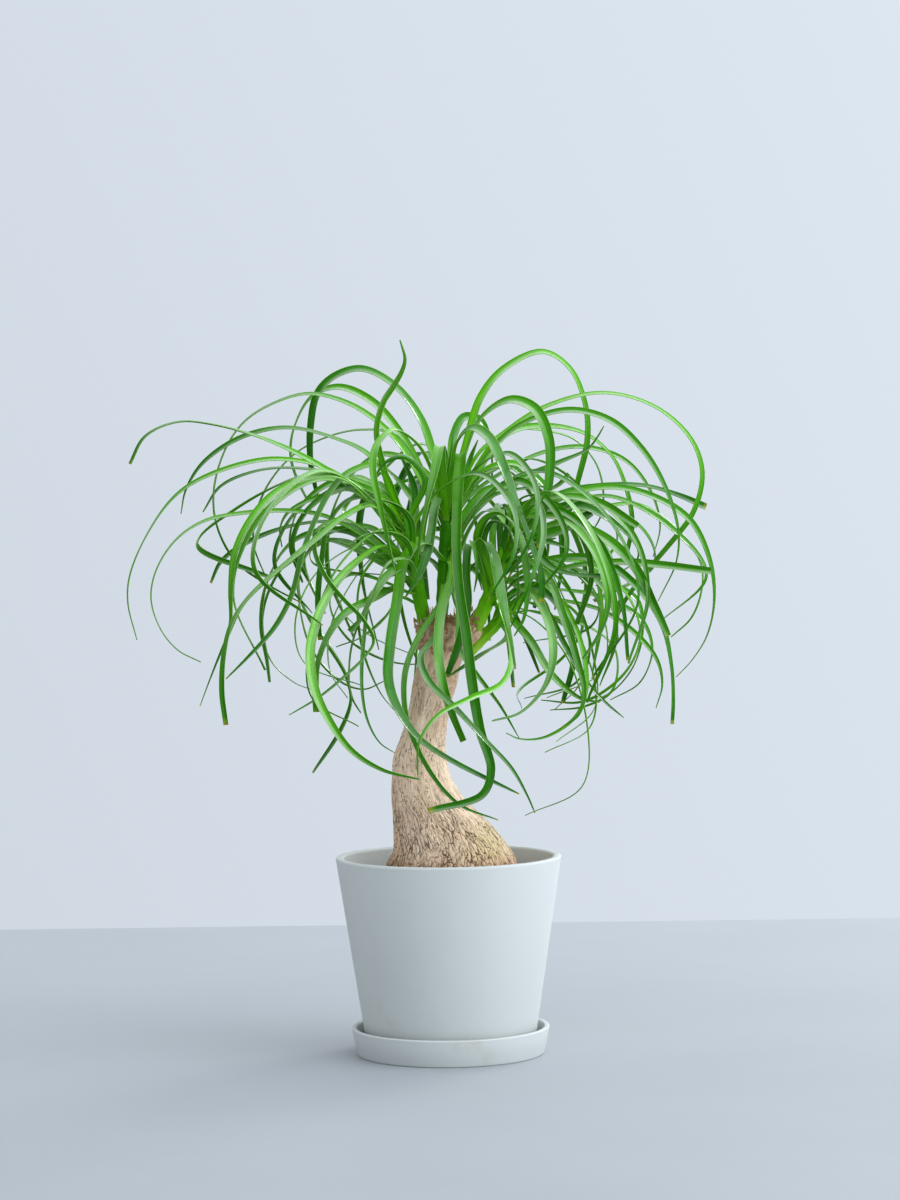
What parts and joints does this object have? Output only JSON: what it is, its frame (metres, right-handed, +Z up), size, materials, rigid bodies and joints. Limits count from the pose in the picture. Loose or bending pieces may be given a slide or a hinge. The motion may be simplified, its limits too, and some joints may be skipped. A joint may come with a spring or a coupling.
{
  "type": "potted ponytail palm",
  "caption": "Ponytail palm with a swollen woody trunk and arching strap leaves, growing from soil in a round tapered pot on its saucer.",
  "frame": {"origin": "centre of the saucer's flat underside, on the axis of the pot", "axes": "+Z up along the pot's axis; -Y towards the viewer, the side on which the trunk's swollen foot leans to the right; +X to the viewer's right"},
  "size_m": [0.5225, 0.3555, 0.6288],
  "materials": {
    "pot": "matte pale grey-blue moulded plastic",
    "saucer": "matte pale grey-blue moulded plastic",
    "soil": "dark brown crumbly potting soil of peat and bark",
    "bark": "dry greyish-tan corky bark with upright fissures and cracked plates at the foot",
    "leaf": "satin deep green strap leaves with lime bases and brown cut tips"
  },
  "bodies": {
    "root": {"saucer": "saucer", "pot": "pot", "soil": "soil", "trunk": "bark", "head_left": "leaf", "head_middle": "leaf", "head_right": "leaf", "head_low": "leaf"}
  },
  "joints": []
}
